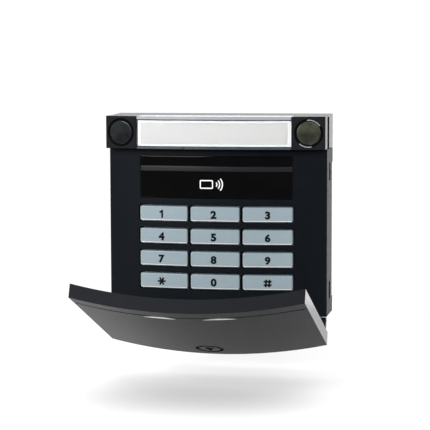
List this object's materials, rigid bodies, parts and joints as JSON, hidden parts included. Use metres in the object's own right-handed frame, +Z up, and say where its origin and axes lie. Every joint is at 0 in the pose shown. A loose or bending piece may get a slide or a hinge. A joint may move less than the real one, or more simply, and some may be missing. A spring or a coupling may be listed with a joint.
{
  "type": "alarm keypad panel",
  "caption": "Wall-mounted alarm keypad: bowed dark housing with number keys, glossy reader window, label strip with two round buttons on top and a fold-down front flap",
  "frame": {"origin": "centre of the rear face that lies against the wall, midway between the panel's top and the closed flap's foot", "axes": "+X to the panel's right as it is read, +Y into the wall, so the front looks along -Y, and +Z up"},
  "size_m": [0.102, 0.0956, 0.1114],
  "materials": {
    "housing_plastic": "satin, finely textured",
    "gloss_housing": "gloss",
    "rear_plastic": "matt",
    "window_gloss": "high gloss",
    "key_plastic": "satin, slightly translucent",
    "smoked_plastic": "smoked, gloss",
    "clear_plastic": "clear",
    "label_paper": "matt",
    "circuit_board": "solder mask",
    "silicone": "matt",
    "copper": "plain",
    "black_moulding": "matt",
    "terminal_plastic": "matt",
    "steel": "zinc plated",
    "led_lens": "clear",
    "plunger_plastic": "plain"
  },
  "bodies": {
    "root": {"wall_plate": "rear_plastic", "front_housing": "housing_plastic", "window_panel": "window_gloss", "segment_base": "gloss_housing", "segment_front": "gloss_housing", "clear_cover": "clear_plastic", "main_board": "circuit_board", "keypad_membrane": "silicone", "reader_aerial": "copper", "microcontroller": "black_moulding", "buzzer": "black_moulding", "terminal_block": "terminal_plastic", "tamper_switch": "black_moulding", "segment_connector": "black_moulding", "lock_screw": "steel", "board_screw_top_left": "steel", "board_screw_top_right": "steel", "board_screw_bottom_left": "steel", "board_screw_bottom_right": "steel", "label_strip": "label_paper", "segment_board": "circuit_board", "button_switch_left": "black_moulding", "button_switch_right": "black_moulding", "status_led_left": "led_lens", "status_led_right": "led_lens", "segment_screw_left": "steel", "segment_screw_right": "steel", "hinge_pin_left": "steel", "hinge_pin_right": "steel"},
    "key_1": {"key_1": "key_plastic"},
    "key_2": {"key_2": "key_plastic"},
    "key_3": {"key_3": "key_plastic"},
    "key_4": {"key_4": "key_plastic"},
    "key_5": {"key_5": "key_plastic"},
    "key_6": {"key_6": "key_plastic"},
    "key_7": {"key_7": "key_plastic"},
    "key_8": {"key_8": "key_plastic"},
    "key_9": {"key_9": "key_plastic"},
    "key_star": {"key_star": "key_plastic"},
    "key_0": {"key_0": "key_plastic"},
    "key_hash": {"key_hash": "key_plastic"},
    "button_left": {"button_left": "smoked_plastic"},
    "button_right": {"button_right": "smoked_plastic"},
    "tamper_plunger": {"tamper_plunger": "plunger_plastic"},
    "flap": {"flap_cover": "gloss_housing"}
  },
  "joints": [
    {"name": "key_1_press", "type": "slide", "parent": "root", "child": "key_1", "axis": [0, 1, 0], "range_m": [0, 0.0008], "stiffness_N_per_m": 1500},
    {"name": "key_2_press", "type": "slide", "parent": "root", "child": "key_2", "axis": [0, 1, 0], "range_m": [0, 0.0008], "stiffness_N_per_m": 1500},
    {"name": "key_3_press", "type": "slide", "parent": "root", "child": "key_3", "axis": [0, 1, 0], "range_m": [0, 0.0008], "stiffness_N_per_m": 1500},
    {"name": "key_4_press", "type": "slide", "parent": "root", "child": "key_4", "axis": [0, 1, 0], "range_m": [0, 0.0008], "stiffness_N_per_m": 1500},
    {"name": "key_5_press", "type": "slide", "parent": "root", "child": "key_5", "axis": [0, 1, 0], "range_m": [0, 0.0008], "stiffness_N_per_m": 1500},
    {"name": "key_6_press", "type": "slide", "parent": "root", "child": "key_6", "axis": [0, 1, 0], "range_m": [0, 0.0008], "stiffness_N_per_m": 1500},
    {"name": "key_7_press", "type": "slide", "parent": "root", "child": "key_7", "axis": [0, 1, 0], "range_m": [0, 0.0008], "stiffness_N_per_m": 1500},
    {"name": "key_8_press", "type": "slide", "parent": "root", "child": "key_8", "axis": [0, 1, 0], "range_m": [0, 0.0008], "stiffness_N_per_m": 1500},
    {"name": "key_9_press", "type": "slide", "parent": "root", "child": "key_9", "axis": [0, 1, 0], "range_m": [0, 0.0008], "stiffness_N_per_m": 1500},
    {"name": "key_star_press", "type": "slide", "parent": "root", "child": "key_star", "axis": [0, 1, 0], "range_m": [0, 0.0008], "stiffness_N_per_m": 1500},
    {"name": "key_0_press", "type": "slide", "parent": "root", "child": "key_0", "axis": [0, 1, 0], "range_m": [0, 0.0008], "stiffness_N_per_m": 1500},
    {"name": "key_hash_press", "type": "slide", "parent": "root", "child": "key_hash", "axis": [0, 1, 0], "range_m": [0, 0.0008], "stiffness_N_per_m": 1500},
    {"name": "button_left_press", "type": "slide", "parent": "root", "child": "button_left", "axis": [0, 1, 0], "range_m": [0, 0.0008], "stiffness_N_per_m": 2000},
    {"name": "button_right_press", "type": "slide", "parent": "root", "child": "button_right", "axis": [0, 1, 0], "range_m": [0, 0.0008], "stiffness_N_per_m": 2000},
    {"name": "tamper_plunger_press", "type": "slide", "parent": "root", "child": "tamper_plunger", "axis": [0, -1, 0], "range_m": [0, 0.001], "stiffness_N_per_m": 600},
    {"name": "flap_hinge", "type": "hinge", "parent": "root", "child": "flap", "pos_m": [0, -0.0159, -0.0466], "axis": [1, 0, 0], "range_deg": [-67.8, 0]}
  ]
}
